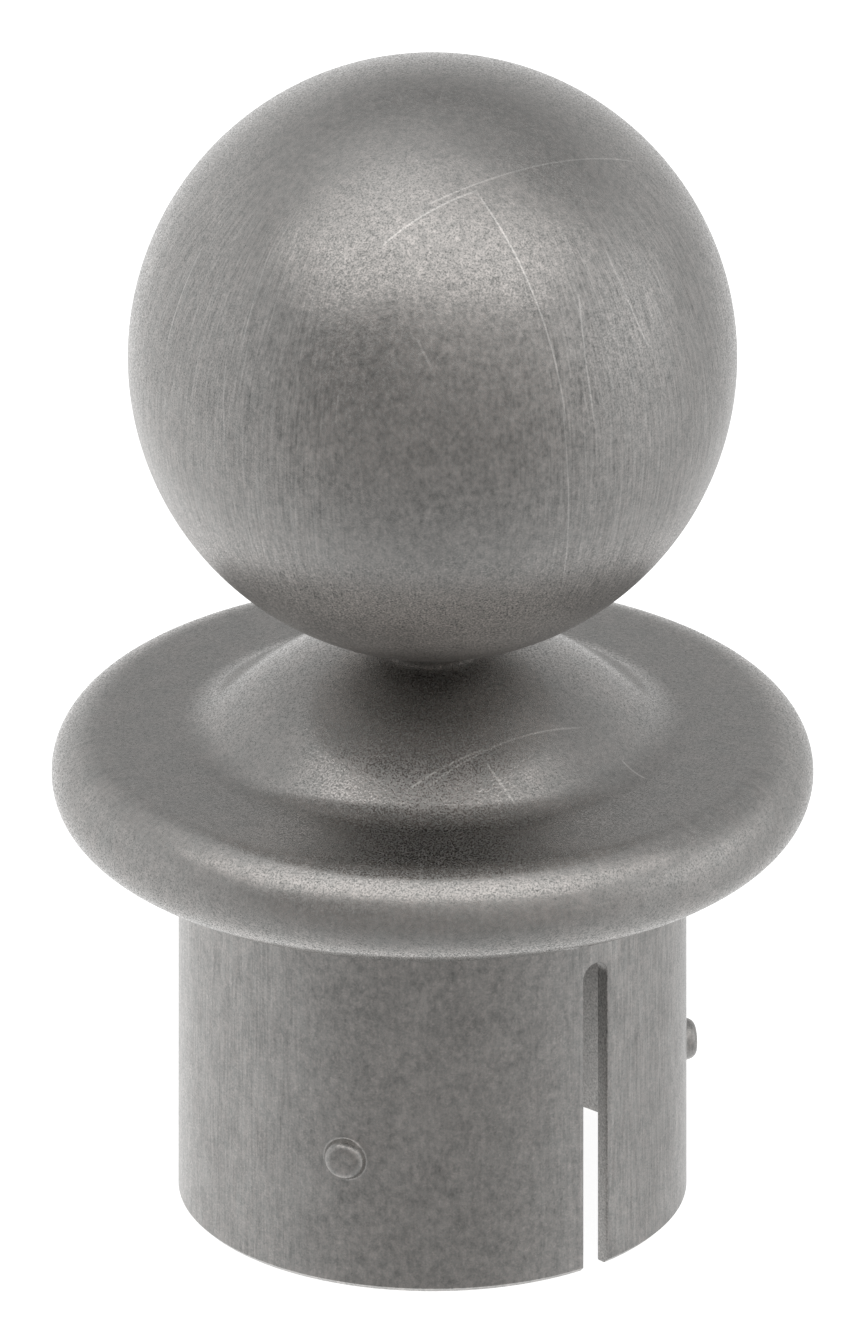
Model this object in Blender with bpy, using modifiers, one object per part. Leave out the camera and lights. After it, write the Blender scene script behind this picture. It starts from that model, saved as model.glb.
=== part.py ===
"""Pipe ball finial: a ball on a domed collar, with a split spigot that springs into a pipe.

One cast piece. Metres, +Z up. The origin is the middle of the spigot's foot, on which the
finial stands. An azimuth is an angle about Z from the front (-Y), positive towards +X.
"""
from math import acos, atan2, cos, pi, radians, sin, sqrt

import bmesh
import bpy
from mathutils import Matrix

INCH = 0.0254
MM = 0.001

# Spigot: the hollow tube that goes into the pipe
SPIGOT_DIAMETER = 2.0 * INCH
SPIGOT_LENGTH = 1.6 * INCH
SPIGOT_WALL = 0.06 * INCH
FOOT_CHAMFER = 0.5 * MM
BORE_DEPTH = 1.5 * INCH
BORE_FILLET = 1.5 * MM

# Slot: cut up from the foot through one side of the spigot, with a round top end
SLOT_WIDTH = 0.12 * INCH
SLOT_HEIGHT = 33.6 * MM
SLOT_AZIMUTH = radians(40.0)

# Bosses: small raised buttons round the spigot that grip the pipe's bore
BOSS_COUNT = 3
BOSS_DIAMETER = 4.4 * MM
BOSS_RISE = 1.3 * MM
BOSS_ROUND = 0.9 * MM
BOSS_HEIGHT = 14.2 * MM

# Collar: the disc with a full-round rim that stops against the pipe's end
COLLAR_DIAMETER = 3.0 * INCH
COLLAR_THICKNESS = 0.4 * INCH

# Dome: a spherical cap on the collar, blended into its flat top
DOME_FOOT_DIAMETER = 47.2 * MM
DOME_HEIGHT = 9.6 * MM
DOME_FILLET = 8.0 * MM

# Neck and ball
NECK_DIAMETER = 10.4 * MM
BALL_DIAMETER = 2.4 * INCH
BALL_LIFT = 0.4 * INCH

# Finish
STEEL_COLOR = (0.36, 0.35, 0.34, 1.0)
STEEL_ROUGHNESS = 0.35

# Fineness of the faceted surfaces
BODY_STEPS = 72
BALL_ARC_STEPS = 24
RIM_ARC_STEPS = 12
DOME_ARC_STEPS = 6
DOME_FILLET_STEPS = 5
BORE_FILLET_STEPS = 3
BOSS_ROUND_STEPS = 4
BOSS_STEPS = 20
SLOT_STEPS = 24
MERGE_DISTANCE = 0.01 * MM
SHARP_ANGLE = radians(25.0)

# Worked out from the sizes above
SPIGOT_RADIUS = SPIGOT_DIAMETER / 2
BORE_RADIUS = SPIGOT_RADIUS - SPIGOT_WALL
RIM_RADIUS = COLLAR_THICKNESS / 2
RIM_CENTRE_RADIUS = COLLAR_DIAMETER / 2 - RIM_RADIUS
COLLAR_TOP = SPIGOT_LENGTH + COLLAR_THICKNESS
BALL_RADIUS = BALL_DIAMETER / 2
BALL_CENTRE = COLLAR_TOP + BALL_LIFT + BALL_RADIUS
NECK_RADIUS = NECK_DIAMETER / 2
SLOT_CUTTER_DEPTH = 4 * SPIGOT_WALL


def arc(centre, radius, start, end, steps):
    """Points (radius, height) on an arc about a centre; angles run from +radius to +height."""
    centre_radius, centre_height = centre
    points = []
    for step in range(steps + 1):
        angle = start + (end - start) * step / steps
        points.append((centre_radius + radius * cos(angle), centre_height + radius * sin(angle)))
    return points


def ball_profile():
    """The ball's outline from its top pole down to where the neck meets it."""
    neck_meeting = -acos(NECK_RADIUS / BALL_RADIUS)
    points = arc((0.0, BALL_CENTRE), BALL_RADIUS, pi / 2, neck_meeting, BALL_ARC_STEPS)
    points[0] = (0.0, BALL_CENTRE + BALL_RADIUS)
    return points


def dome_profile():
    """The dome's outline from the neck down its cap and through the fillet to the flat."""
    foot_radius = DOME_FOOT_DIAMETER / 2
    cap_radius = (foot_radius**2 + DOME_HEIGHT**2) / (2 * DOME_HEIGHT)
    cap_centre = COLLAR_TOP + DOME_HEIGHT - cap_radius
    fillet_height = COLLAR_TOP + DOME_FILLET
    fillet_radius = sqrt((cap_radius + DOME_FILLET)**2 - (fillet_height - cap_centre)**2)
    meeting = atan2(fillet_height - cap_centre, fillet_radius)
    neck_meeting = acos(NECK_RADIUS / cap_radius)
    cap = arc((0.0, cap_centre), cap_radius, neck_meeting, meeting, DOME_ARC_STEPS)
    fillet = arc((fillet_radius, fillet_height), DOME_FILLET, meeting - pi, -pi / 2, DOME_FILLET_STEPS)
    return cap + fillet[1:]


def rim_profile():
    """The collar's full-round rim, from its flat top round to its flat underside."""
    centre = (RIM_CENTRE_RADIUS, SPIGOT_LENGTH + RIM_RADIUS)
    return arc(centre, RIM_RADIUS, pi / 2, -pi / 2, RIM_ARC_STEPS)


def spigot_profile():
    """The spigot's outside, its chamfered foot, its bore and the bore's closed end."""
    fillet_centre = (BORE_RADIUS - BORE_FILLET, BORE_DEPTH - BORE_FILLET)
    outside = [
        (SPIGOT_RADIUS, SPIGOT_LENGTH),
        (SPIGOT_RADIUS, FOOT_CHAMFER),
        (SPIGOT_RADIUS - FOOT_CHAMFER, 0.0),
        (BORE_RADIUS, 0.0),
    ]
    bore_end = arc(fillet_centre, BORE_FILLET, 0.0, pi / 2, BORE_FILLET_STEPS)
    return outside + bore_end + [(0.0, BORE_DEPTH)]


def boss_profile():
    """One boss about its own axis: flat top, rounded edge, side, and a base inside the wall."""
    sunk = SPIGOT_WALL / 2
    round_centre = (BOSS_DIAMETER / 2 - BOSS_ROUND, BOSS_RISE - BOSS_ROUND)
    edge = arc(round_centre, BOSS_ROUND, pi / 2, 0.0, BOSS_ROUND_STEPS)
    return [(0.0, BOSS_RISE)] + edge + [(BOSS_DIAMETER / 2, -sunk), (0.0, -sunk)]


def turned(name, profile, steps, collection):
    """Spin a profile of (radius, height) points about Z into a closed body."""
    points = [(radius, 0.0, height) for radius, height in profile]
    edges = [(index, index + 1) for index in range(len(points) - 1)]
    mesh = bpy.data.meshes.new(name)
    mesh.from_pydata(points, edges, [])
    obj = bpy.data.objects.new(name, mesh)
    collection.objects.link(obj)
    turn = obj.modifiers.new("Turn", 'SCREW')
    turn.axis = 'Z'
    turn.steps = steps
    turn.render_steps = steps
    turn.use_merge_vertices = True
    turn.merge_threshold = MERGE_DISTANCE
    turn.use_smooth_shade = True
    return obj


def place_on_spigot(obj, azimuth, height):
    """Set an object on the spigot's side, its own Z axis pointing straight out."""
    obj.location = (SPIGOT_RADIUS * sin(azimuth), -SPIGOT_RADIUS * cos(azimuth), height)
    obj.rotation_euler = (pi / 2, 0.0, azimuth)


def as_guide(obj):
    """Mark an object as a guide that only shapes another one."""
    obj.display_type = 'WIRE'
    obj.hide_render = True


def slot_cutter(collection):
    """A long round-ended bar across the spigot's wall, reaching down past the foot."""
    half_width = SLOT_WIDTH / 2
    half_step = pi / SLOT_STEPS
    corner_radius = half_width / cos(half_step)
    bm = bmesh.new()
    bmesh.ops.create_cone(
        bm,
        cap_ends=True,
        segments=SLOT_STEPS,
        radius1=corner_radius,
        radius2=corner_radius,
        depth=SLOT_CUTTER_DEPTH,
    )
    bmesh.ops.rotate(bm, verts=bm.verts, matrix=Matrix.Rotation(half_step, 3, 'Z'))
    for vertex in bm.verts:
        if vertex.co.y < 0:
            vertex.co.y -= SLOT_HEIGHT
    mesh = bpy.data.meshes.new("slot_cutter")
    bm.to_mesh(mesh)
    bm.free()
    obj = bpy.data.objects.new("slot_cutter", mesh)
    collection.objects.link(obj)
    place_on_spigot(obj, SLOT_AZIMUTH, SLOT_HEIGHT - half_width)
    as_guide(obj)
    return obj


def add_boolean(obj, other, operation):
    """Join another body to this one, or cut it away."""
    boolean = obj.modifiers.new(other.name, 'BOOLEAN')
    boolean.operation = operation
    boolean.solver = 'EXACT'
    boolean.object = other


def settle(obj):
    """Make the modified shape the object's own mesh, smooth where it is round."""
    depsgraph = bpy.context.evaluated_depsgraph_get()
    mesh = bpy.data.meshes.new_from_object(obj.evaluated_get(depsgraph))
    obj.modifiers.clear()
    obj.data = mesh
    mesh.name = obj.name
    mesh.shade_smooth()
    mesh.set_sharp_from_angle(angle=SHARP_ANGLE)


def satin_steel():
    """Brushed grey steel."""
    material = bpy.data.materials.new("satin_steel")
    material.use_nodes = True
    shader = material.node_tree.nodes["Principled BSDF"]
    shader.inputs["Base Color"].default_value = STEEL_COLOR
    shader.inputs["Metallic"].default_value = 1.0
    shader.inputs["Roughness"].default_value = STEEL_ROUGHNESS
    material.diffuse_color = STEEL_COLOR
    return material


def make_finial(parts, guides):
    """Turn the finial in one body, add its bosses and cut its slot."""
    profile = ball_profile() + dome_profile() + rim_profile() + spigot_profile()
    finial = turned("ball_finial", profile, BODY_STEPS, parts)
    for index in range(BOSS_COUNT):
        azimuth = SLOT_AZIMUTH + 2 * pi * (index + 0.5) / BOSS_COUNT
        boss = turned(f"boss_{index + 1}", boss_profile(), BOSS_STEPS, guides)
        place_on_spigot(boss, azimuth, BOSS_HEIGHT)
        as_guide(boss)
        add_boolean(finial, boss, 'UNION')
    add_boolean(finial, slot_cutter(guides), 'DIFFERENCE')
    settle(finial)
    finial.data.materials.clear()
    finial.data.materials.append(satin_steel())
    return finial


def main():
    for obj in list(bpy.data.objects):
        bpy.data.objects.remove(obj, do_unlink=True)
    parts = bpy.data.collections.new("Pipe ball finial")
    guides = bpy.data.collections.new("Guides")
    bpy.context.scene.collection.children.link(parts)
    bpy.context.scene.collection.children.link(guides)
    make_finial(parts, guides)


main()
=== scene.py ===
"""Pipe ball finial: a satin steel ball on a domed collar, with a split spigot for a pipe's end.

Metres, +Z up. The origin is the middle of the spigot's foot, on which the finial stands. An
azimuth is an angle about Z from the front (-Y), positive towards +X.
"""
from collections import namedtuple
from math import acos, asin, cos, pi, radians, sin, sqrt, tan

import bmesh
import bpy
from bpy.props import FloatProperty, FloatVectorProperty, IntProperty, PointerProperty
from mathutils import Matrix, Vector
from mathutils.geometry import delaunay_2d_cdt


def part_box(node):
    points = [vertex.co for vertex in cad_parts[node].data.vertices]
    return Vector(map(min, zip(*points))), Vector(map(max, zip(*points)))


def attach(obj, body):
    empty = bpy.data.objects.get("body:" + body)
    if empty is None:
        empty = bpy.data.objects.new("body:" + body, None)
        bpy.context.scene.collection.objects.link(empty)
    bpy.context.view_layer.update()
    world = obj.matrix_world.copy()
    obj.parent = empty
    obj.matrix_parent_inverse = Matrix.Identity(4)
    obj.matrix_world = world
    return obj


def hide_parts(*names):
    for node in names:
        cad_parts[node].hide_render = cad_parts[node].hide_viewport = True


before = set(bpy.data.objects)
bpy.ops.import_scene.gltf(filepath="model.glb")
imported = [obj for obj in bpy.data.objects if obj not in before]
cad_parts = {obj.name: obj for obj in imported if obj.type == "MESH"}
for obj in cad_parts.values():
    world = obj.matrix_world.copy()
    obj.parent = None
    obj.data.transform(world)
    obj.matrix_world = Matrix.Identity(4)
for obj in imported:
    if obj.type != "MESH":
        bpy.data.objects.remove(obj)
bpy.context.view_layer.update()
finial_low, finial_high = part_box("ball_finial")

bl_info = {
    "name": "Pipe Ball Finial",
    "version": (1, 0, 0),
    "blender": (4, 5, 0),
    "location": "3D View > Sidebar > Finial",
    "description": "Makes a satin steel ball finial with a split spigot, and a plain studio for it",
    "category": "Object",
}

INCH = 0.0254
MM = 0.001
MICRON = 0.000001

# The photograph's height in pixels, how many of them the spigot's width takes, and one's size
PHOTO_HEIGHT = 1342
SPIGOT_PIXELS = 508.2
PHOTO_PIXEL = 2.0 * INCH / SPIGOT_PIXELS

# Fineness of the mesh
COLUMNS = 288
BALL_ROWS = 96
DOME_ROWS = 18
DOME_FILLET_ROWS = 10
RIM_ROWS = 32
FLAT_ROWS = 4
CORNER_ROWS = 4
BORE_END_ROWS = 8
WALL_ROWS = 18
SLOT_SIDE_STEPS = 48
SLOT_ARCH_STEPS = 28
BOSS_POINTS = 48
SHOULDER_RINGS = 8
FLARE_RINGS = 6
MERGE_DISTANCE = 1 * MICRON
SHARP_ANGLE = radians(28.0)

# Extra rings of points on a boss's flat top, as shares of its radius, and on the wall round it
BOSS_TOP_SHARES = (0.3, 0.65)
BOSS_SKIRTS = (0.25 * MM, 0.6 * MM)

# Extra outlines round the slot, out from its eased edge, and how far above the foot they end
SLOT_SKIRTS = (0.4 * MM, 0.9 * MM, 1.5 * MM)
SKIRT_LIFT = 0.2 * MM

# How far the wall's plain columns keep from those rings, and from the slot in shares of a column
COLUMN_GAP = 0.35 * MM
COLUMN_CLEARANCE = 0.4

# For the triangulation of the unrolled wall: keep what lies inside the border, and weld points
# that are closer than this many millimetres
INSIDE_BORDER = 1
WELD_DISTANCE = 0.00001

# Material slots of the finial's mesh
BALL, COLLAR, SPIGOT, BORE = range(4)


class FinialSizes(bpy.types.PropertyGroup):
    """Sizes of the finial."""

    ball_diameter: FloatProperty(
        name="Ball Diameter", description="Width of the ball",
        default=2.4 * INCH, unit='LENGTH', subtype='DISTANCE')
    neck_diameter: FloatProperty(
        name="Neck Diameter", description="Width of the short neck between ball and dome",
        default=10.4 * MM, unit='LENGTH', subtype='DISTANCE')
    neck_fillet: FloatProperty(
        name="Neck Fillet", description="Radius where the neck runs into the ball and the dome",
        default=0.4 * MM, unit='LENGTH', subtype='DISTANCE')
    dome_foot_diameter: FloatProperty(
        name="Dome Foot Diameter", description="Width of the dome where its side would meet the flat",
        default=46.8 * MM, unit='LENGTH', subtype='DISTANCE')
    dome_height: FloatProperty(
        name="Dome Height", description="Height of the dome's cap above the collar's flat",
        default=9.9 * MM, unit='LENGTH', subtype='DISTANCE')
    dome_slope: FloatProperty(
        name="Dome Slope", description="Slope of the dome's side below its round cap",
        default=radians(39.0), unit='ROTATION', subtype='ANGLE')
    dome_fillet: FloatProperty(
        name="Dome Fillet", description="Radius where the dome runs out into the flat",
        default=6.0 * MM, unit='LENGTH', subtype='DISTANCE')
    collar_diameter: FloatProperty(
        name="Collar Diameter", description="Width of the collar over its round rim",
        default=finial_high.x - finial_low.x, unit='LENGTH', subtype='DISTANCE')
    collar_thickness: FloatProperty(
        name="Collar Thickness", description="Height of the collar, which is also its rim's width",
        default=0.4 * INCH, unit='LENGTH', subtype='DISTANCE')
    spigot_diameter: FloatProperty(
        name="Spigot Diameter", description="Outside width of the tube that goes into the pipe",
        default=2.0 * INCH, unit='LENGTH', subtype='DISTANCE')
    spigot_length: FloatProperty(
        name="Spigot Length", description="Length of the tube below the collar",
        default=1.6 * INCH, unit='LENGTH', subtype='DISTANCE')
    spigot_wall: FloatProperty(
        name="Spigot Wall", description="Thickness of the tube's wall",
        default=0.06 * INCH, unit='LENGTH', subtype='DISTANCE')
    root_fillet: FloatProperty(
        name="Root Fillet", description="Radius in the corner between the spigot and the collar",
        default=0.3 * MM, unit='LENGTH', subtype='DISTANCE')
    foot_chamfer: FloatProperty(
        name="Foot Chamfer", description="Chamfer round the outside of the spigot's foot",
        default=0.5 * MM, unit='LENGTH', subtype='DISTANCE')
    bore_depth: FloatProperty(
        name="Bore Depth", description="Depth of the hollow inside the spigot",
        default=1.5 * INCH, unit='LENGTH', subtype='DISTANCE')
    bore_fillet: FloatProperty(
        name="Bore Fillet", description="Radius in the corner at the end of the bore",
        default=1.5 * MM, unit='LENGTH', subtype='DISTANCE')
    slot_width: FloatProperty(
        name="Slot Width", description="Width of the slot that lets the spigot spring",
        default=0.12 * INCH, unit='LENGTH', subtype='DISTANCE')
    slot_height: FloatProperty(
        name="Slot Height", description="Height of the slot's round top above the foot",
        default=33.6 * MM, unit='LENGTH', subtype='DISTANCE')
    slot_azimuth: FloatProperty(
        name="Slot Azimuth", description="Direction of the slot, round from the front",
        default=radians(40.0), unit='ROTATION', subtype='ANGLE')
    edge_break: FloatProperty(
        name="Edge Break", description="Radius to which the cut edges of slot and foot are eased",
        default=0.12 * MM, unit='LENGTH', subtype='DISTANCE')
    boss_count: IntProperty(
        name="Boss Count", description="How many bosses grip the pipe's bore",
        default=3, min=1, max=6)
    boss_diameter: FloatProperty(
        name="Boss Diameter", description="Width of a boss across its sides",
        default=4.1 * MM, unit='LENGTH', subtype='DISTANCE')
    boss_rise: FloatProperty(
        name="Boss Rise", description="How far a boss stands out of the spigot's wall",
        default=1.3 * MM, unit='LENGTH', subtype='DISTANCE')
    boss_shoulder: FloatProperty(
        name="Boss Shoulder", description="Radius of a boss's rounded shoulder",
        default=1.0 * MM, unit='LENGTH', subtype='DISTANCE')
    boss_flare: FloatProperty(
        name="Boss Flare", description="Radius where a boss runs out into the wall",
        default=0.35 * MM, unit='LENGTH', subtype='DISTANCE')
    boss_slope: FloatProperty(
        name="Boss Slope", description="Lean of a boss's sides from straight out",
        default=radians(16.0), unit='ROTATION', subtype='ANGLE')
    boss_height: FloatProperty(
        name="Boss Height", description="Height of the bosses above the foot",
        default=14.2 * MM, unit='LENGTH', subtype='DISTANCE')


class SteelFinish(bpy.types.PropertyGroup):
    """Colour and finish of the satin steel."""

    steel_color: FloatVectorProperty(
        name="Steel", description="Colour of the satin brushed steel",
        default=(0.47, 0.461, 0.448), size=3, min=0.0, max=1.0, subtype='COLOR')
    bore_color: FloatVectorProperty(
        name="Bore", description="Colour of the unpolished steel in the bore and the slot",
        default=(0.46, 0.452, 0.44), size=3, min=0.0, max=1.0, subtype='COLOR')
    roughness: FloatProperty(
        name="Roughness", description="Roughness of the satin finish",
        default=0.32, min=0.0, max=1.0, subtype='FACTOR')
    bore_roughness: FloatProperty(
        name="Bore Roughness", description="Roughness of the unpolished steel",
        default=0.5, min=0.0, max=1.0, subtype='FACTOR')


class StudioLook(bpy.types.PropertyGroup):
    """Camera, floor and light."""

    camera_elevation: FloatProperty(
        name="Camera Elevation", description="Angle at which the camera looks down",
        default=radians(25.0), unit='ROTATION', subtype='ANGLE')
    aim_height: FloatProperty(
        name="Aim Height", description="Height on the turning axis in the middle of the picture",
        default=56.8 * MM, unit='LENGTH', subtype='DISTANCE')
    floor_color: FloatVectorProperty(
        name="Floor", description="Colour of the pale floor",
        default=(0.8, 0.8, 0.8), size=3, min=0.0, max=1.0, subtype='COLOR')
    floor_glow: FloatProperty(
        name="Floor Glow", description="Light that the floor gives off, as a light table does",
        default=0.92, min=0.0, max=2.0)
    panel_radiance: FloatProperty(
        name="Panel Radiance", description="Brightness of the soft panel overhead",
        default=0.587, min=0.0, max=10.0)


def profile_arc(centre, radius, start, end, steps):
    """Points (radius, height) on an arc about a centre; angles run from +radius to +height."""
    centre_radius, centre_height = centre
    points = []
    for step in range(steps + 1):
        angle = start + (end - start) * step / steps
        points.append((centre_radius + radius * cos(angle), centre_height + radius * sin(angle)))
    return points


def ball_profile(sizes):
    """The ball's outline from its top pole down to the neck's upper fillet."""
    radius = sizes.ball_diameter / 2
    centre = sizes.spigot_length + sizes.collar_thickness + ball_lift(sizes) + radius
    neck = sizes.neck_diameter / 2
    fillet = sizes.neck_fillet
    meeting = -acos((neck + fillet) / (radius + fillet))
    points = profile_arc((0.0, centre), radius, pi / 2, meeting, BALL_ROWS)
    points[0] = (0.0, centre + radius)
    fillet_centre = (neck + fillet, centre - sqrt((radius + fillet)**2 - (neck + fillet)**2))
    upper = profile_arc(fillet_centre, fillet, meeting + pi, pi, CORNER_ROWS)
    return points + upper[1:]


def ball_lift(sizes):
    """How far the ball's lowest point would stand above the collar's flat."""
    return finial_high.z - sizes.ball_diameter - sizes.collar_thickness - sizes.spigot_length


def dome_profile(sizes):
    """The dome's outline: neck's lower fillet, cap, straight side, and the fillet into the flat."""
    flat = sizes.spigot_length + sizes.collar_thickness
    foot = sizes.dome_foot_diameter / 2
    slope = sizes.dome_slope
    cap_radius = (foot * tan(slope) - sizes.dome_height) / (1 / cos(slope) - 1)
    cap_centre = flat + sizes.dome_height - cap_radius
    neck = sizes.neck_diameter / 2
    small = sizes.neck_fillet
    neck_meeting = acos((neck + small) / (cap_radius + small))
    small_centre = (neck + small, cap_centre + sqrt((cap_radius + small)**2 - (neck + small)**2))
    lower = profile_arc(small_centre, small, pi, pi + neck_meeting, CORNER_ROWS)
    cap = profile_arc((0.0, cap_centre), cap_radius, neck_meeting, pi / 2 - slope, DOME_ROWS)
    fillet_centre = (foot + sizes.dome_fillet * tan(slope / 2), flat + sizes.dome_fillet)
    fillet = profile_arc(
        fillet_centre, sizes.dome_fillet, -pi / 2 - slope, -pi / 2, DOME_FILLET_ROWS)
    return lower + cap[1:] + fillet


def collar_profile(sizes):
    """The collar's flat, its round rim, its underside and the corner into the spigot."""
    rim = sizes.collar_thickness / 2
    rim_centre = (sizes.collar_diameter / 2 - rim, sizes.spigot_length + rim)
    spigot = sizes.spigot_diameter / 2
    root = sizes.root_fillet
    dome_edge = dome_profile(sizes)[-1]
    flat = []
    for step in range(1, FLAT_ROWS):
        share = step / FLAT_ROWS
        flat.append((dome_edge[0] + (rim_centre[0] - dome_edge[0]) * share, dome_edge[1]))
    round_rim = profile_arc(rim_centre, rim, pi / 2, -pi / 2, RIM_ROWS)
    under_middle = (rim_centre[0] + spigot + root) / 2
    root_centre = (spigot + root, sizes.spigot_length - root)
    corner = profile_arc(root_centre, root, pi / 2, pi, CORNER_ROWS)
    return flat + round_rim + [(under_middle, sizes.spigot_length)] + corner


def bore_end_profile(sizes):
    """The bore's rounded corner and its flat end."""
    bore = sizes.spigot_diameter / 2 - sizes.spigot_wall
    fillet = sizes.bore_fillet
    corner = profile_arc(
        (bore - fillet, sizes.bore_depth - fillet), fillet, 0.0, pi / 2, BORE_END_ROWS)
    middle = (corner[-1][0] / 2, sizes.bore_depth)
    return corner + [middle, (0.0, sizes.bore_depth)]


def boss_profile(sizes):
    """A boss's (distance from its middle, rise) points, from its top out to the bare wall."""
    rise, shoulder, flare, slope = (
        sizes.boss_rise, sizes.boss_shoulder, sizes.boss_flare, sizes.boss_slope)
    top = sizes.boss_diameter / 2 - shoulder * cos(slope)
    side_foot = sizes.boss_diameter / 2 + (rise - shoulder * (1 - sin(slope))) * tan(slope)
    flare_centre = side_foot + flare * (1 - sin(slope)) / cos(slope)
    inner = [(top * share, rise) for share in BOSS_TOP_SHARES]
    rounded = profile_arc((top, rise - shoulder), shoulder, pi / 2, slope, SHOULDER_RINGS)
    flared = profile_arc((flare_centre, flare), flare, pi + slope, 1.5 * pi, FLARE_RINGS)
    outer = [(flare_centre + skirt, 0.0) for skirt in BOSS_SKIRTS]
    return inner + rounded + flared + outer


class Skin:
    """Vertices and faces of the finial, gathered area by area."""

    def __init__(self, azimuth):
        self.azimuth = azimuth
        self.points = []
        self.faces = []
        self.slots = []

    def point(self, angle, radius, height):
        """Add a point at an angle from the slot."""
        around = angle + self.azimuth
        self.points.append((radius * sin(around), -radius * cos(around), height))
        return len(self.points) - 1

    def face(self, corners, slot):
        """Add a face in one of the material slots."""
        self.faces.append(corners)
        self.slots.append(slot)

    def turn(self, profile, slot):
        """Turn a profile of (radius, height) points about Z."""
        rings = []
        for radius, height in profile:
            if radius == 0.0:
                rings.append([self.point(0.0, 0.0, height)] * COLUMNS)
            else:
                rings.append([self.point(angle, radius, height) for angle in column_angles(pi)[:-1]])
        for ring, following in zip(rings, rings[1:]):
            for index in range(COLUMNS):
                after = (index + 1) % COLUMNS
                corners = [ring[index], ring[after], following[after], following[index]]
                self.face(list(dict.fromkeys(corners)), slot)

    def strip(self, row, following, slot):
        """Join two rows of as many points with faces."""
        for index in range(len(row) - 1):
            self.face([row[index], row[index + 1], following[index + 1], following[index]], slot)

    def mesh(self, name):
        """The closed mesh of all that was gathered."""
        mesh = bpy.data.meshes.new(name)
        mesh.from_pydata(self.points, [], self.faces)
        mesh.polygons.foreach_set("material_index", self.slots)
        work = bmesh.new()
        work.from_mesh(mesh)
        bmesh.ops.remove_doubles(work, verts=work.verts, dist=MERGE_DISTANCE)
        loose = [vertex for vertex in work.verts if not vertex.link_faces]
        bmesh.ops.delete(work, geom=loose, context='VERTS')
        open_edges = [edge for edge in work.edges if len(edge.link_faces) != 2]
        if open_edges:
            raise RuntimeError(f"{name} is not closed: {len(open_edges)} open edges")
        bmesh.ops.recalc_face_normals(work, faces=work.faces)
        work.to_mesh(mesh)
        work.free()
        mesh.shade_smooth()
        mesh.set_sharp_from_angle(angle=SHARP_ANGLE)
        return mesh


def column_angles(seam):
    """Angles of the mesh's columns from the slot, once round to a seam, both ends the same place."""
    return [seam + 2 * pi * (index / COLUMNS - 1) for index in range(COLUMNS + 1)]


def slot_outline(sizes, offset, radius, foot):
    """The slot's outline on a cylinder, as (angle from the slot, height) points up, over and down."""
    half = sizes.slot_width / 2 + offset
    centre = sizes.slot_height - sizes.slot_width / 2
    across = []
    for step in range(SLOT_SIDE_STEPS):
        across.append((-half, foot + (centre - foot) * step / SLOT_SIDE_STEPS))
    across += profile_arc((0.0, centre), half, pi, 0.0, SLOT_ARCH_STEPS)
    across += [(-side, height) for side, height in reversed(across[:SLOT_SIDE_STEPS])]
    return [(asin(side / radius), height) for side, height in across]


# The slot's outline at one place in the wall's thickness: how far it is eased, and where it stands
SlotRing = namedtuple("SlotRing", "offset radius foot")


def slot_rings(sizes):
    """The slot's rings through the wall, from outside to inside."""
    outside = sizes.spigot_diameter / 2
    inside = outside - sizes.spigot_wall
    ease = sizes.edge_break
    chamfer = sizes.foot_chamfer
    corner = ease * (1 - cos(pi / 4))
    rings = [
        (ease, outside),
        (corner, outside - corner),
        (0.0, outside - ease),
        (0.0, outside - chamfer),
        (0.0, inside + ease),
        (corner, inside + corner),
        (ease, inside),
    ]
    return [
        SlotRing(offset, radius, max(0.0, radius - outside + chamfer, inside + ease - radius))
        for offset, radius in rings
    ]


FootBand = namedtuple("FootBand", "first_ring last_ring slot")

# The spigot's foot from outside to inside: its chamfer, its flat and the bore's eased edge, each
# with the first and last of the slot's rings that close its ends
FOOT_BANDS = (
    FootBand(first_ring=0, last_ring=3, slot=SPIGOT),
    FootBand(first_ring=3, last_ring=4, slot=BORE),
    FootBand(first_ring=4, last_ring=6, slot=BORE),
)


def slot_clearance(sizes):
    """The angle from the slot beyond which columns reach the foot."""
    gap = asin((sizes.slot_width / 2 + sizes.edge_break) / (sizes.spigot_diameter / 2))
    return gap + COLUMN_CLEARANCE * 2 * pi / COLUMNS


def wall_seam(sizes):
    """The angle from the slot at which the unrolled wall is cut, clear of the bosses."""
    return pi if sizes.boss_count % 2 == 0 else 4 * pi / 3


def boss_angles(sizes):
    """Angles of the bosses from the slot, on the unrolled wall."""
    angles = [2 * pi * (index + 0.5) / sizes.boss_count for index in range(sizes.boss_count)]
    return [angle if angle < wall_seam(sizes) else angle - 2 * pi for angle in angles]


class FlatWall:
    """A cylinder's wall laid out flat, as points in millimetres that are joined at the end."""

    def __init__(self, radius):
        self.radius = radius
        self.points = []
        self.rises = []

    def add(self, angle, height, rise=0.0):
        """Add a point that stands out of the wall by its rise, and return its number."""
        self.points.append(Vector((self.radius * angle / MM, height / MM)))
        self.rises.append(rise)
        return len(self.points) - 1

    def cover(self, border, skin, slot):
        """Fill the border with faces between the points, and roll them up into the skin."""
        points, _, faces, origins, _, _ = delaunay_2d_cdt(
            self.points, [], [border], INSIDE_BORDER, WELD_DISTANCE)
        placed = []
        for point, origin in zip(points, origins):
            rise = self.rises[origin[0]] if origin else 0.0
            placed.append(skin.point(point.x * MM / self.radius, self.radius + rise, point.y * MM))
        for face in faces:
            skin.face([placed[index] for index in face], slot)


def add_slot_skirts(flat, sizes, foot):
    """Points round the slot, which carry its outline out into the plain wall."""
    for skirt in SLOT_SKIRTS:
        ring = slot_outline(sizes, sizes.edge_break + skirt, flat.radius, foot)
        for angle, height in ring[1:-1]:
            if height > foot + SKIRT_LIFT:
                flat.add(angle, height)


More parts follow.
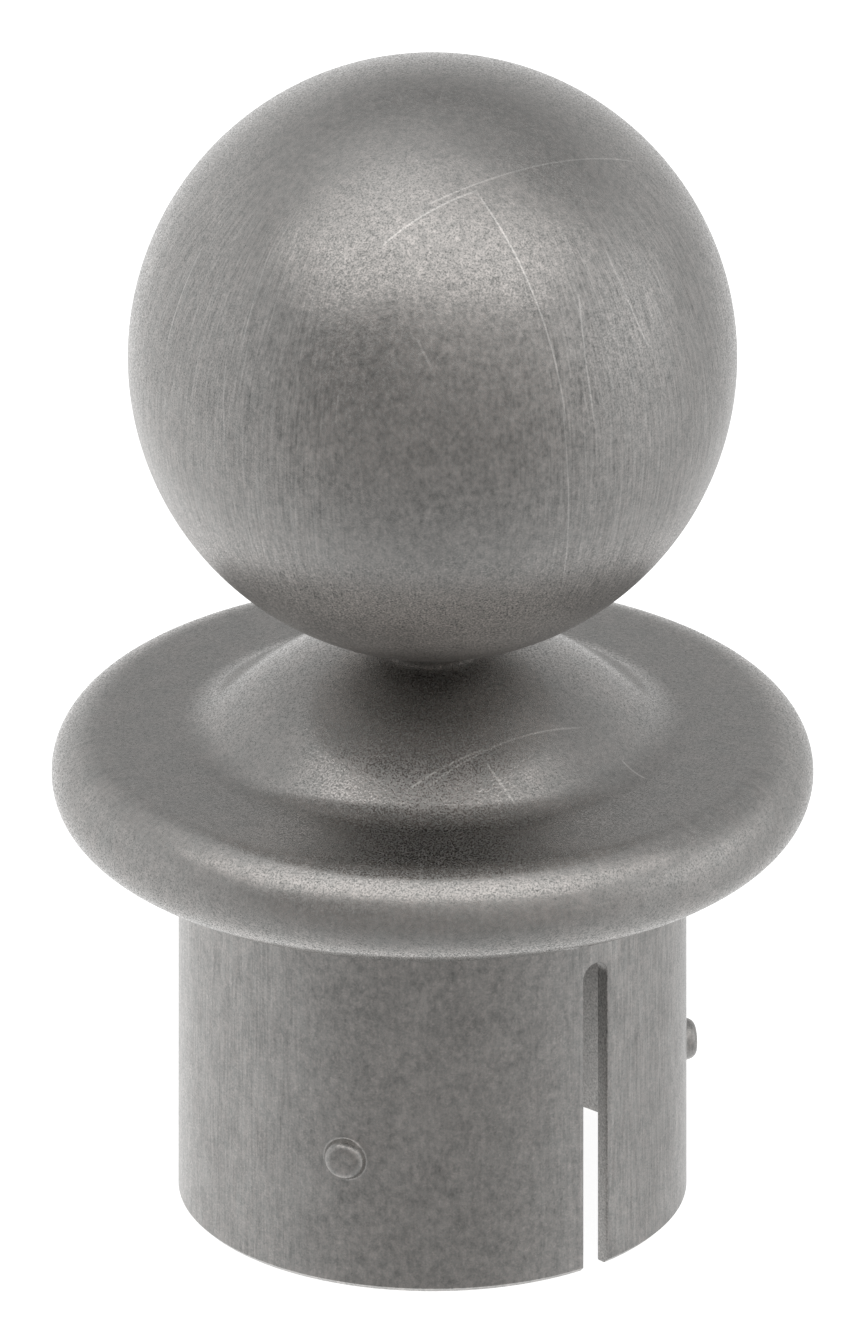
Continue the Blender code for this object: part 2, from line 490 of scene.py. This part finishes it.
def add_boss_rings(flat, sizes, bosses):
    """Points on and round the bosses, ring by ring."""
    for angle in bosses:
        flat.add(angle, sizes.boss_height, sizes.boss_rise)
        for distance, rise in boss_profile(sizes):
            for step in range(BOSS_POINTS):
                turned = 2 * pi * step / BOSS_POINTS
                flat.add(
                    angle + distance * cos(turned) / flat.radius,
                    sizes.boss_height + distance * sin(turned),
                    rise)


def add_columns(flat, sizes, columns, heights, bosses):
    """Points on plain columns, where neither the slot nor a boss is near."""
    half = sizes.slot_width / 2
    slot_centre = sizes.slot_height - half
    slot_reach = half + sizes.edge_break + SLOT_SKIRTS[-1] + COLUMN_GAP
    boss_reach = boss_profile(sizes)[-1][0] + COLUMN_GAP
    for height in heights:
        for angle in columns:
            side = flat.radius * angle
            above = max(0.0, height - slot_centre)
            by_slot = sqrt(side**2 + above**2) < slot_reach
            by_boss = any(
                sqrt((side - flat.radius * boss)**2 + (height - sizes.boss_height)**2) < boss_reach
                for boss in bosses)
            if not by_slot and not by_boss:
                flat.add(angle, height)


def wall(skin, sizes, radius, bottom, top, outline, bosses, slot):
    """Cover a cylinder between two heights, with the slot's notch and any bosses in it."""
    seam = wall_seam(sizes)
    columns = column_angles(seam)
    clear = slot_clearance(sizes)
    heights = [bottom + (top - bottom) * row / WALL_ROWS for row in range(WALL_ROWS + 1)]
    flat = FlatWall(radius)

    # Border: along the bottom and over the slot, up the seam, back along the top, down the seam
    border = [flat.add(angle, bottom) for angle in columns if angle < -clear]
    border += [flat.add(angle, height) for angle, height in outline]
    border += [flat.add(angle, bottom) for angle in columns if angle > clear]
    border += [flat.add(seam, height) for height in heights[1:-1]]
    border += [flat.add(angle, top) for angle in reversed(columns)]
    border += [flat.add(seam - 2 * pi, height) for height in reversed(heights[1:-1])]

    add_slot_skirts(flat, sizes, bottom)
    add_boss_rings(flat, sizes, bosses)
    add_columns(flat, sizes, columns[1:-1], heights[1:-1], bosses)
    flat.cover(border, skin, slot)


def spigot(skin, sizes):
    """The split tube: outer wall with bosses, slot walls, foot, bore."""
    outside = sizes.spigot_diameter / 2
    inside = outside - sizes.spigot_wall
    ease = sizes.edge_break
    rings = slot_rings(sizes)
    outlines = [slot_outline(sizes, *ring) for ring in rings]
    wall(skin, sizes, outside, sizes.foot_chamfer, sizes.spigot_length - sizes.root_fillet,
         outlines[0], boss_angles(sizes), SPIGOT)
    wall(skin, sizes, inside, ease, sizes.bore_depth - sizes.bore_fillet,
         outlines[-1], [], BORE)

    # Slot walls, ring by ring through the wall
    placed = []
    for ring, outline in zip(rings, outlines):
        placed.append([skin.point(angle, ring.radius, height) for angle, height in outline])
    for row, following in zip(placed, placed[1:]):
        skin.strip(row, following, BORE)

    # Foot, band by band. A circle starts where the slot's outline ends, and ends where it starts.
    clear = slot_clearance(sizes)
    angles = [angle for angle in column_angles(2 * pi) if clear < angle < 2 * pi - clear]
    steps = [
        (outside, sizes.foot_chamfer),
        (outside - sizes.foot_chamfer, 0.0),
        (inside + ease, 0.0),
        (inside, ease),
    ]
    circles = [[skin.point(angle, radius, height) for angle in angles] for radius, height in steps]
    for band, circle, following in zip(FOOT_BANDS, circles, circles[1:]):
        skin.strip(circle, following, band.slot)
        crossed = placed[band.first_ring:band.last_ring + 1]
        for end, slot_end in ((0, -1), (-1, 0)):
            edge = [outline[slot_end] for outline in crossed]
            skin.face([circle[end]] + edge + [following[end]], band.slot)


class Value:
    """A node's output that Python's operators work on by adding Math nodes."""

    def __init__(self, nodes, socket):
        self.nodes = nodes
        self.socket = socket

    def __add__(self, other):
        return self.nodes.maths('ADD', self, other)

    def __radd__(self, other):
        return self.nodes.maths('ADD', other, self)

    def __sub__(self, other):
        return self.nodes.maths('SUBTRACT', self, other)

    def __rsub__(self, other):
        return self.nodes.maths('SUBTRACT', other, self)

    def __mul__(self, other):
        return self.nodes.maths('MULTIPLY', self, other)

    def __rmul__(self, other):
        return self.nodes.maths('MULTIPLY', other, self)

    def __abs__(self):
        return self.nodes.maths('ABSOLUTE', self)


# Sockets of the Mix node that carry its factor, its two colours and its result
MIX_FACTOR = 0
MIX_FIRST = 6
MIX_SECOND = 7
MIX_RESULT = 2


class Nodes:
    """Adds nodes to a material or to the world."""

    def __init__(self, tree):
        self.tree = tree

    def add(self, kind, settings, inputs, output=0):
        """Add a node, its settings first, then the values or links of its sockets."""
        node = self.tree.nodes.new(kind)
        for name, setting in settings.items():
            setattr(node, name, setting)
        for name, value in inputs.items():
            self.feed(node.inputs[name], value)
        return Value(self, node.outputs[output])

    def feed(self, socket, value):
        """Link a value to a socket, or set the socket to a number or colour."""
        if isinstance(value, Value):
            self.tree.links.new(value.socket, socket)
        else:
            socket.default_value = value

    def maths(self, operation, *values):
        """Work on numbers."""
        return self.add('ShaderNodeMath', {"operation": operation}, dict(enumerate(values)))

    def vector(self, operation, *values, output="Vector"):
        """Work on places and directions. Some operations put a number out at Value."""
        inputs = dict(enumerate(values))
        return self.add('ShaderNodeVectorMath', {"operation": operation}, inputs, output)

    def fade(self, value, low, high, at_low=0.0, at_high=1.0):
        """Go smoothly from one number to another as a value goes from low to high."""
        return self.add('ShaderNodeMapRange', {"interpolation_type": 'SMOOTHSTEP'}, {
            "Value": value, "From Min": low, "From Max": high,
            "To Min": at_low, "To Max": at_high})

    def blend(self, factor, first, second, kind='MIX'):
        """Mix two colours."""
        return self.add('ShaderNodeMix', {"data_type": 'RGBA', "blend_type": kind}, {
            MIX_FACTOR: factor, MIX_FIRST: first, MIX_SECOND: second}, MIX_RESULT)

    def noise(self, place, spot, detail=2.0, roughness=0.5):
        """Soft noise about 0 with spots of about that size, in the units of the place."""
        pattern = self.add('ShaderNodeTexNoise', {}, {
            "Vector": place, "Scale": 1.0 / spot, "Detail": detail, "Roughness": roughness})
        return pattern - 0.5


# The steel's tone runs from black up to this many times its colour, and its tint between these
LIGHTEST_TONE = 2.0
COOL_TINT = (0.98, 1.0, 1.003, 1.0)
WARM_TINT = (1.02, 0.996, 0.993, 1.0)


class SteelNodes(Nodes):
    """The nodes of one steel finish, with places on the part in millimetres.

    So a pattern's spot, a mask's low and high, and a thread's spacing and width are millimetres
    too. A factor before a pattern says how much of it goes into the tone, tint or roughness.
    """

    def __init__(self, name):
        self.material = bpy.data.materials.new(name)
        self.material.use_nodes = True
        super().__init__(self.material.node_tree)
        self.shader = self.tree.nodes["Principled BSDF"]
        coordinates = self.add('ShaderNodeTexCoord', {}, {}, "Object")
        self.place = self.vector('MULTIPLY', coordinates, (1 / MM, 1 / MM, 1 / MM))

    def level(self):
        """Places with their height taken out."""
        return self.vector('MULTIPLY', self.place, (1.0, 1.0, 0.0))

    def ring(self, radius):
        """Places moved in or out to one radius from the turning axis."""
        outward = self.vector('NORMALIZE', self.level())
        return self.vector('MULTIPLY', outward, (radius, radius, radius))

    def around(self, radius, climb):
        """Places measured round the turning axis at a radius, and up by a share of the height."""
        upright = self.vector('MULTIPLY', self.place, (0.0, 0.0, climb))
        return self.vector('ADD', self.ring(radius), upright)

    def swept(self, edge, length):
        """Places that change fast away from the axis and slowly round it."""
        outward = self.add('ShaderNodeCombineXYZ', {}, {"Z": edge})
        return self.vector('ADD', self.ring(length), outward)

    def squeezed(self, climb):
        """Places with the height scaled, so that patterns are stretched upright."""
        return self.vector('MULTIPLY', self.place, (1.0, 1.0, climb))

    def shifted(self, distance):
        """Places moved aside, where a pattern takes another course."""
        return self.vector('ADD', self.place, (distance, distance, distance))

    def measure(self, direction):
        """How far a place lies along a direction."""
        return self.vector('DOT_PRODUCT', self.place, direction, output="Value")

    def distance(self, spot):
        """How far a place is from a spot."""
        return self.vector('DISTANCE', self.place, spot, output="Value")

    def away_from_axis(self):
        """How far a place is from the turning axis."""
        return self.vector('LENGTH', self.level(), output="Value")

    def finish(self, color, tone, warmth, roughness, relief, depth):
        """Feed the shader: a toned colour, a warm or cool tint, roughness and fine relief."""
        lightest = tuple(part * LIGHTEST_TONE for part in color) + (1.0,)
        toned = self.blend(tone * (1.0 / LIGHTEST_TONE), (0.0, 0.0, 0.0, 1.0), lightest)
        tinted = self.blend(warmth, COOL_TINT, WARM_TINT)
        steel = self.blend(1.0, toned, tinted, 'MULTIPLY')
        bump = self.add('ShaderNodeBump', {}, {"Strength": 1.0, "Distance": depth, "Height": relief})
        self.feed(self.shader.inputs["Base Color"], steel)
        self.feed(self.shader.inputs["Roughness"], roughness)
        self.feed(self.shader.inputs["Metallic"], 1.0)
        self.feed(self.shader.inputs["Normal"], bump)
        self.material.diffuse_color = tuple(color) + (1.0,)
        return self.material


Scratch = namedtuple(
    "Scratch", "azimuth_start latitude_start azimuth_end latitude_end bow width depth")

# The ball in millimetres, for its finish, and the directions of the frame
BALL_REACH = 30.48
BALL_MIDDLE = Vector((0.0, 0.0, 91.44))
UPWARD = Vector((0.0, 0.0, 1.0))
SIDEWAYS = Vector((1.0, 0.0, 0.0))

# Long fine scratches on the ball. Angles are in degrees, latitudes above the ball's equator.
# Bow and width are in millimetres, depth is a share of the deepest one's.
BALL_SCRATCHES = (
    Scratch(azimuth_start=-3.5, latitude_start=54.3, azimuth_end=83.6, latitude_end=47.7,
            bow=-0.05, width=0.13, depth=0.7),
    Scratch(azimuth_start=-14.1, latitude_start=45.5, azimuth_end=15.5, latitude_end=57.4,
            bow=-0.41, width=0.13, depth=0.8),
    Scratch(azimuth_start=15.4, latitude_start=57.1, azimuth_end=26.4, latitude_end=10.2,
            bow=-0.71, width=0.14, depth=1.0),
    Scratch(azimuth_start=25.9, latitude_start=15.9, azimuth_end=28.6, latitude_end=-27.1,
            bow=0.3, width=0.12, depth=0.6),
    Scratch(azimuth_start=-3.4, latitude_start=28.6, azimuth_end=0.0, latitude_end=22.6,
            bow=0.05, width=0.13, depth=0.7),
    Scratch(azimuth_start=47.1, latitude_start=39.6, azimuth_end=48.4, latitude_end=19.5,
            bow=0.38, width=0.11, depth=0.7),
    Scratch(azimuth_start=35.0, latitude_start=33.3, azimuth_end=32.5, latitude_end=8.9,
            bow=0.53, width=0.11, depth=0.7),
    Scratch(azimuth_start=58.9, latitude_start=32.5, azimuth_end=57.7, latitude_end=26.8,
            bow=0.02, width=0.1, depth=0.5),
    Scratch(azimuth_start=-65.4, latitude_start=34.5, azimuth_end=-63.8, latitude_end=14.4,
            bow=-0.04, width=0.13, depth=0.7),
    Scratch(azimuth_start=-43.9, latitude_start=39.6, azimuth_end=-42.1, latitude_end=21.7,
            bow=-0.1, width=0.1, depth=0.6),
    Scratch(azimuth_start=-45.3, latitude_start=18.2, azimuth_end=-43.1, latitude_end=3.0,
            bow=0.02, width=0.1, depth=0.5),
    Scratch(azimuth_start=-18.8, latitude_start=16.7, azimuth_end=-18.9, latitude_end=11.1,
            bow=0.02, width=0.11, depth=0.5),
)


DomeScratch = namedtuple("DomeScratch", "x_start y_start x_end y_end height width depth")

# A dome scratch's crest stands so many millimetres above its ends, which makes its plane upright
CREST_LIFT = 0.1

# Scratches over the dome and the flat, in millimetres: as seen from above, and their height
DOME_SCRATCHES = (
    DomeScratch(x_start=-2.9, y_start=-20.6, x_end=5.2, y_end=-16.2, height=54.6, width=0.16,
                depth=0.9),
    DomeScratch(x_start=-0.8, y_start=-20.4, x_end=14.9, y_end=-9.9, height=55.0, width=0.14,
                depth=0.7),
    DomeScratch(x_start=5.0, y_start=-17.2, x_end=8.6, y_end=-21.0, height=53.3, width=0.18,
                depth=0.7),
    DomeScratch(x_start=18.9, y_start=-10.9, x_end=21.6, y_end=-12.9, height=51.6, width=0.15,
                depth=0.8),
)


def toward(azimuth, elevation):
    """A direction, from degrees round from the front and degrees up."""
    azimuth, elevation = radians(azimuth), radians(elevation)
    return Vector((cos(elevation) * sin(azimuth), -cos(elevation) * cos(azimuth), sin(elevation)))


def ball_spot(azimuth, latitude):
    """A place on the ball in millimetres, from degrees round and up."""
    return BALL_MIDDLE + BALL_REACH * toward(azimuth, latitude)


def ball_scratch(steel, scratch):
    """Its depth along a scratch on the ball, which bows sideways from a great circle."""
    start = ball_spot(scratch.azimuth_start, scratch.latitude_start)
    end = ball_spot(scratch.azimuth_end, scratch.latitude_end)
    outward = ((start + end) / 2 - BALL_MIDDLE).normalized()
    sideways = (end - start).cross(outward).normalized()
    lift = sqrt(BALL_REACH**2 - scratch.bow**2)
    crest = BALL_MIDDLE + outward * lift + sideways * scratch.bow
    return scratch_mark(steel, start, crest, end, scratch.width, scratch.depth)


def dome_scratch(steel, scratch):
    """Its depth along a scratch over the dome, straight as seen from above."""
    start = Vector((scratch.x_start, scratch.y_start, scratch.height))
    end = Vector((scratch.x_end, scratch.y_end, scratch.height))
    crest = (start + end) / 2 + CREST_LIFT * UPWARD
    return scratch_mark(steel, start, crest, end, scratch.width, scratch.depth)


def scratch_mark(steel, start, crest, end, width, depth):
    """Its depth along a long scratch: where a plane through three places cuts the surface."""
    normal = (end - start).cross(crest - start).normalized()
    across = abs(steel.measure(normal) - normal.dot(start))
    away = steel.distance(crest)
    reach = (end - crest).length
    thin = steel.fade(across, low=0.25 * width, high=width, at_low=depth, at_high=0.0)
    return thin * steel.fade(away, low=0.8 * reach, high=1.1 * reach, at_low=1.0, at_high=0.0)


def threads(steel, place, spacing, width, share):
    """1 along thin broken lines, which run the way that the place is stretched.

    A larger share leaves fewer gaps in them.
    """
    course = abs(steel.noise(place, spot=spacing, detail=1.0))
    line = steel.fade(course, low=0.0, high=width, at_low=1.0, at_high=0.0)
    presence = steel.noise(steel.shifted(31.0), spot=3.0)
    return line * steel.fade(presence, low=0.06 - share, high=0.14 - share)


def ball_steel(finish):
    """Ball: satin all over, with fine sparkle, a leathery mottle, long thin scratches, and a painted
    reflection of the collar underneath: stronger grain and a warmer tint.
    """
    steel = SteelNodes("ball_steel")
    soft = steel.squeezed(0.7)
    grain = steel.noise(steel.place, spot=0.18, detail=1.0)
    flecks = steel.noise(soft, spot=0.5, roughness=0.65)
    mottle = steel.noise(soft, spot=1.1, roughness=0.6)
    cloud = steel.noise(steel.place, spot=4.5, detail=1.0)
    pits = steel.noise(steel.shifted(11.0), spot=0.9, roughness=0.65)
    spots = steel.fade(pits, low=0.1, high=0.2)
    veins = threads(steel, steel.squeezed(0.5), spacing=1.5, width=0.03, share=0.05)

    # Where on the ball: its underside, its upper part, its flanks, and the middle of its front
    height = steel.measure(UPWARD)
    from_equator = abs(height - BALL_MIDDLE.z)
    # Under the ball the grain is stronger and the tint warmer: a painted reflection of the warm
    # collar below
    under = steel.fade(height, low=74.0, high=84.0, at_low=1.0, at_high=0.0)
    upper = steel.fade(height, low=84.0, high=100.0, at_low=0.25, at_high=1.0)
    flank = steel.fade(abs(steel.measure(SIDEWAYS)), low=4.0, high=14.0)
    side = flank * steel.fade(from_equator, low=18.0, high=27.0, at_low=1.0, at_high=0.0)
    from_worn_spot = steel.distance(ball_spot(azimuth=3.0, latitude=20.0))
    worn = steel.fade(from_worn_spot, low=12.0, high=27.0, at_low=1.0, at_high=0.5)

    # Upright brushing on the flanks
    brushed = steel.around(radius=30.0, climb=0.05)
    brushing = steel.noise(brushed, spot=0.22) * side
    lines = threads(steel, brushed, spacing=0.7, width=0.035, share=0.1) * side

    scratches = sum(ball_scratch(steel, scratch) for scratch in BALL_SCRATCHES)
    mottling = (flecks + 0.6 * mottle - 0.06 * spots) * worn
    tone = (1.0 + (0.45 + 2.0 * under) * grain + mottling + 0.12 * cloud
            + 0.75 * brushing + 0.14 * lines + 0.06 * veins + 0.5 * scratches)
    warmth = 0.5 + 0.25 * under + mottle + 1.5 * flecks + 2.5 * grain
    roughness = (finish.roughness + 0.08 * under - 1.4 * grain * upper + 0.12 * mottle
                 - 0.05 * scratches)
    relief = steel.noise(steel.place, spot=0.25, detail=1.0) * upper
    return steel.finish(finish.steel_color, tone, warmth, roughness, relief, depth=14 * MICRON)


def collar_steel(finish):
    """Dome, flat and rim: fine sparkle, streaks drawn across the round rim, and a painted highlight
    that makes the whole rim a little lighter.
    """
    steel = SteelNodes("collar_steel")
    grain = steel.noise(steel.place, spot=0.18, detail=1.0)
    flecks = steel.noise(steel.place, spot=0.45, roughness=0.65)
    cloud = steel.noise(steel.place, spot=3.0)
    edge = steel.away_from_axis()
    on_rim = steel.fade(edge, low=31.0, high=34.0)
    patches = steel.noise(steel.around(radius=38.0, climb=0.35), spot=0.7) * on_rim
    turned = steel.noise(steel.swept(edge, length=4.0), spot=0.22)
    scratches = sum(dome_scratch(steel, scratch) for scratch in DOME_SCRATCHES)
    # The 0.07 on the rim lightens the whole rim: a painted highlight that stands in for its brighter
    # lit band
    tone = (1.0 + 0.07 * on_rim + 0.4 * grain + 0.6 * flecks + 0.2 * cloud + 0.3 * patches
            + 0.25 * turned + 0.6 * scratches)
    warmth = 0.5 + 1.2 * cloud + 1.5 * flecks + 2.5 * grain
    roughness = finish.roughness - 1.7 * grain + 0.1 * patches
    relief = steel.noise(steel.place, spot=0.25, detail=1.0)
    return steel.finish(finish.steel_color, tone, warmth, roughness, relief, depth=14 * MICRON)


def spigot_steel(finish):
    """Spigot: drawn tube with fine upright streaks and a warm mottle."""
    steel = SteelNodes("spigot_steel")
    drawn = steel.squeezed(0.06)
    soft = steel.squeezed(0.8)
    grain = steel.noise(steel.place, spot=0.2, detail=1.0)
    streaks = steel.noise(drawn, spot=0.25)
    lines = threads(steel, drawn, spacing=0.7, width=0.04, share=0.1)
    flecks = steel.noise(soft, spot=0.5, roughness=0.65)
    mottle = steel.noise(soft, spot=1.2, roughness=0.65)
    cloud = steel.noise(steel.place, spot=4.0, detail=1.0)
    side = steel.fade(abs(steel.measure(SIDEWAYS)), low=8.0, high=18.0)
    mottling = (0.8 * flecks + 0.7 * mottle) * (1.0 - 0.5 * side)
    tone = (1.0 + 0.5 * grain + mottling + 0.3 * cloud + 0.2 * streaks + 0.5 * streaks * side
            + 0.1 * lines * side)
    warmth = 0.5 + 1.5 * mottle + 1.8 * flecks + 2.5 * grain
    roughness = finish.roughness - 0.3 * grain
    relief = steel.noise(soft, spot=0.25, detail=1.0)
    return steel.finish(finish.steel_color, tone, warmth, roughness, relief, depth=10 * MICRON)


def bore_steel(finish):
    """Bore, slot and foot: darker, coarser and unpolished, with painted shade that darkens them
    deeper in and lightens them towards the open end.
    """
    steel = SteelNodes("bore_steel")
    grain = steel.noise(steel.place, spot=0.22, roughness=0.7)
    blotches = steel.noise(steel.place, spot=1.0)
    # Painted shade: the tone is lighter near the open foot and darker deeper inside the bore
    light = steel.fade(steel.measure(UPWARD), low=0.0, high=36.0, at_low=0.2, at_high=-0.15)
    tone = 1.0 + light + 2.2 * grain + 0.3 * blotches
    warmth = 0.5 + blotches
    roughness = finish.bore_roughness + 0.3 * grain
    return steel.finish(finish.bore_color, tone, warmth, roughness, grain, depth=30 * MICRON)


class FINIAL_OT_make_finial(bpy.types.Operator):
    """Make the one-piece finial: ball, neck, dome, collar and split spigot with its bosses"""

    bl_idname = "finial.make_finial"
    bl_label = "Make Finial"

    def execute(self, context):
        sizes = context.scene.finial_sizes
        finish = context.scene.finial_finish
        skin = Skin(sizes.slot_azimuth)
        ball = ball_profile(sizes)
        skin.turn(ball, BALL)
        skin.turn([ball[-1]] + dome_profile(sizes) + collar_profile(sizes), COLLAR)
        skin.turn(bore_end_profile(sizes), BORE)
        spigot(skin, sizes)
        finial = bpy.data.objects.new("finial", skin.mesh("finial"))
        for make in (ball_steel, collar_steel, spigot_steel, bore_steel):
            finial.data.materials.append(make(finish))
        context.scene.collection.objects.link(finial)
        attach(finial, "root")
        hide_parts("ball_finial")
        return {'FINISHED'}


class FINIAL_OT_make_stage(bpy.types.Operator):
    """Set the finial on a plain pale floor under a soft panel, with the photograph's camera"""

    bl_idname = "finial.make_stage"
    bl_label = "Make Stage"

    def execute(self, context):
        look = context.scene.finial_studio
        scene = context.scene
        add_floor(scene, look)
        add_panel(scene, look)
        light_the_room(scene)
        aim_camera(scene, look)
        scene.view_settings.view_transform = 'Standard'
        return {'FINISHED'}


# How far the floor reaches to each side, and how far from the finial the camera stands
FLOOR_REACH = 4.0
CAMERA_DISTANCE = 1.0

# The room's light, and the panel's and the camera side's, which is a little warm
WHITE_LIGHT = (1.0, 1.0, 1.0, 1.0)
WARM_LIGHT = (1.0, 0.972, 0.953, 1.0)


def add_floor(scene, look):
    """A wide pale floor that glows a little, as a light table does."""
    mesh = bpy.data.meshes.new("floor")
    work = bmesh.new()
    bmesh.ops.create_grid(work, x_segments=1, y_segments=1, size=FLOOR_REACH)
    work.to_mesh(mesh)
    work.free()
    floor = bpy.data.objects.new("floor", mesh)
    scene.collection.objects.link(floor)
    material = bpy.data.materials.new("pale_floor")
    material.use_nodes = True
    shader = material.node_tree.nodes["Principled BSDF"]
    shader.inputs["Base Color"].default_value = tuple(look.floor_color) + (1.0,)
    shader.inputs["Roughness"].default_value = 1.0
    shader.inputs["Specular IOR Level"].default_value = 0.0
    shader.inputs["Emission Color"].default_value = WHITE_LIGHT
    shader.inputs["Emission Strength"].default_value = look.floor_glow
    mesh.materials.append(material)
    floor.visible_glossy = False


PanelLayer = namedtuple("PanelLayer", "share width depth height")

# Layers of the soft panel, each with its share of the panel's brightness. They hang apart, because
# lights at one height would hide each other.
PANEL_LAYERS = (
    PanelLayer(share=0.36, width=3.0, depth=1.4, height=1.12),
    PanelLayer(share=0.36, width=2.3, depth=0.95, height=1.08),
    PanelLayer(share=0.36, width=1.5, depth=0.55, height=1.04),
)

# Where the panel's middle hangs, as seen from above
PANEL_X = -0.05
PANEL_Y = -0.45


def add_panel(scene, look):
    """The soft panel overhead, brightest in its middle: its reflection is the ball's highlight."""
    for layer in PANEL_LAYERS:
        data = bpy.data.lights.new("panel", 'AREA')
        data.shape = 'RECTANGLE'
        data.size = layer.width
        data.size_y = layer.depth
        data.energy = pi * look.panel_radiance * layer.share * layer.width * layer.depth
        data.color = WARM_LIGHT[:3]
        panel = bpy.data.objects.new("panel", data)
        panel.location = (PANEL_X, PANEL_Y, layer.height)
        panel.visible_camera = False
        scene.collection.objects.link(panel)


Glow = namedtuple("Glow", "azimuth elevation strength")

# Soft brighter and dimmer places in the room's light, in degrees round and up
ROOM_GLOWS = (
    Glow(azimuth=-177.0, elevation=23.0, strength=-0.183),
    Glow(azimuth=125.0, elevation=-35.0, strength=-0.128),
    Glow(azimuth=-132.0, elevation=72.0, strength=0.328),
    Glow(azimuth=65.0, elevation=10.0, strength=0.101),
    Glow(azimuth=-170.0, elevation=-15.0, strength=0.364),
    Glow(azimuth=-40.0, elevation=21.0, strength=-0.079),
    Glow(azimuth=25.0, elevation=42.0, strength=0.140),
    Glow(azimuth=-162.0, elevation=-67.0, strength=0.315),
    Glow(azimuth=-125.0, elevation=17.0, strength=0.070),
    Glow(azimuth=-65.0, elevation=-27.0, strength=0.024),
    Glow(azimuth=98.0, elevation=19.0, strength=0.284),
    Glow(azimuth=118.0, elevation=4.0, strength=-0.159),
    Glow(azimuth=110.0, elevation=47.0, strength=-0.094),
)

# How fast a glow fades away from its middle
GLOW_TIGHTNESS = 9.0

# Brightness of the room: on the camera's side, at the sides and the back, low at the back, overhead
CAMERA_SIDE_LIGHT = 0.333
LEVEL_LIGHT = 0.632
LOW_BACK_LIGHT = 0.831
OVERHEAD_LIGHT = 0.399


def light_the_room(scene):
    """Even light from all round: dimmer behind the camera, brighter low down behind the finial."""
    world = bpy.data.worlds.new("studio")
    world.use_nodes = True
    scene.world = world
    room = Nodes(world.node_tree)
    background = world.node_tree.nodes["Background"]
    direction = room.add('ShaderNodeTexCoord', {}, {}, "Generated")
    back = room.add('ShaderNodeSeparateXYZ', {}, {"Vector": direction}, "Y")
    up = room.add('ShaderNodeSeparateXYZ', {}, {"Vector": direction}, "Z")
    level = room.fade(back, low=-1.0, high=0.1, at_low=CAMERA_SIDE_LIGHT, at_high=LEVEL_LIGHT)
    under = room.fade(back, low=-0.3, high=0.9, at_low=level, at_high=LOW_BACK_LIGHT)
    around = room.fade(up, low=-0.6, high=0.1, at_low=under, at_high=level)
    light = room.fade(up, low=0.2, high=0.7, at_low=around, at_high=OVERHEAD_LIGHT)
    for glow in ROOM_GLOWS:
        aim = toward(glow.azimuth, glow.elevation)
        nearness = room.vector('DOT_PRODUCT', direction, aim, output="Value")
        spread = room.maths('EXPONENT', (nearness - 1.0) * GLOW_TIGHTNESS)
        light = light + spread * glow.strength
    seen = room.add('ShaderNodeLightPath', {}, {}, "Is Camera Ray")
    before = room.fade(back, low=-0.9, high=-0.3, at_low=1.0, at_high=0.0)
    front = before * room.fade(up, low=-0.8, high=-0.2) * (1.0 - seen)
    room.feed(background.inputs["Color"], room.blend(front, WHITE_LIGHT, WARM_LIGHT))
    room.feed(background.inputs["Strength"], light + seen * (1.0 - light))


def aim_camera(scene, look):
    """The photograph's camera: no perspective, from the front and above."""
    data = bpy.data.cameras.new("camera")
    data.type = 'ORTHO'
    data.ortho_scale = PHOTO_HEIGHT * PHOTO_PIXEL
    camera = bpy.data.objects.new("camera", data)
    elevation = look.camera_elevation
    camera.location = (
        0.0,
        -CAMERA_DISTANCE * cos(elevation),
        look.aim_height + CAMERA_DISTANCE * sin(elevation),
    )
    camera.rotation_euler = (pi / 2 - elevation, 0.0, 0.0)
    scene.collection.objects.link(camera)
    scene.camera = camera


class FINIAL_PT_finial(bpy.types.Panel):
    """The finial's sizes, finish and stage"""

    bl_label = "Pipe Ball Finial"
    bl_space_type = 'VIEW_3D'
    bl_region_type = 'UI'
    bl_category = "Finial"

    def draw(self, context):
        layout = self.layout
        layout.use_property_split = True
        groups = (
            (context.scene.finial_sizes, FINIAL_OT_make_finial.bl_idname),
            (context.scene.finial_finish, None),
            (context.scene.finial_studio, FINIAL_OT_make_stage.bl_idname),
        )
        for group, operator in groups:
            column = layout.column()
            for name in group.__annotations__:
                column.prop(group, name)
            if operator:
                column.operator(operator)


CLASSES = (
    FinialSizes,
    SteelFinish,
    StudioLook,
    FINIAL_OT_make_finial,
    FINIAL_OT_make_stage,
    FINIAL_PT_finial,
)


def register():
    for each in CLASSES:
        bpy.utils.register_class(each)
    bpy.types.Scene.finial_sizes = PointerProperty(type=FinialSizes)
    bpy.types.Scene.finial_finish = PointerProperty(type=SteelFinish)
    bpy.types.Scene.finial_studio = PointerProperty(type=StudioLook)


def unregister():
    del bpy.types.Scene.finial_studio
    del bpy.types.Scene.finial_finish
    del bpy.types.Scene.finial_sizes
    for each in reversed(CLASSES):
        bpy.utils.unregister_class(each)


def main():
    """Make the finial and its stage."""
    register()
    bpy.ops.finial.make_finial()
    bpy.ops.finial.make_stage()


if __name__ == "__main__":
    main()
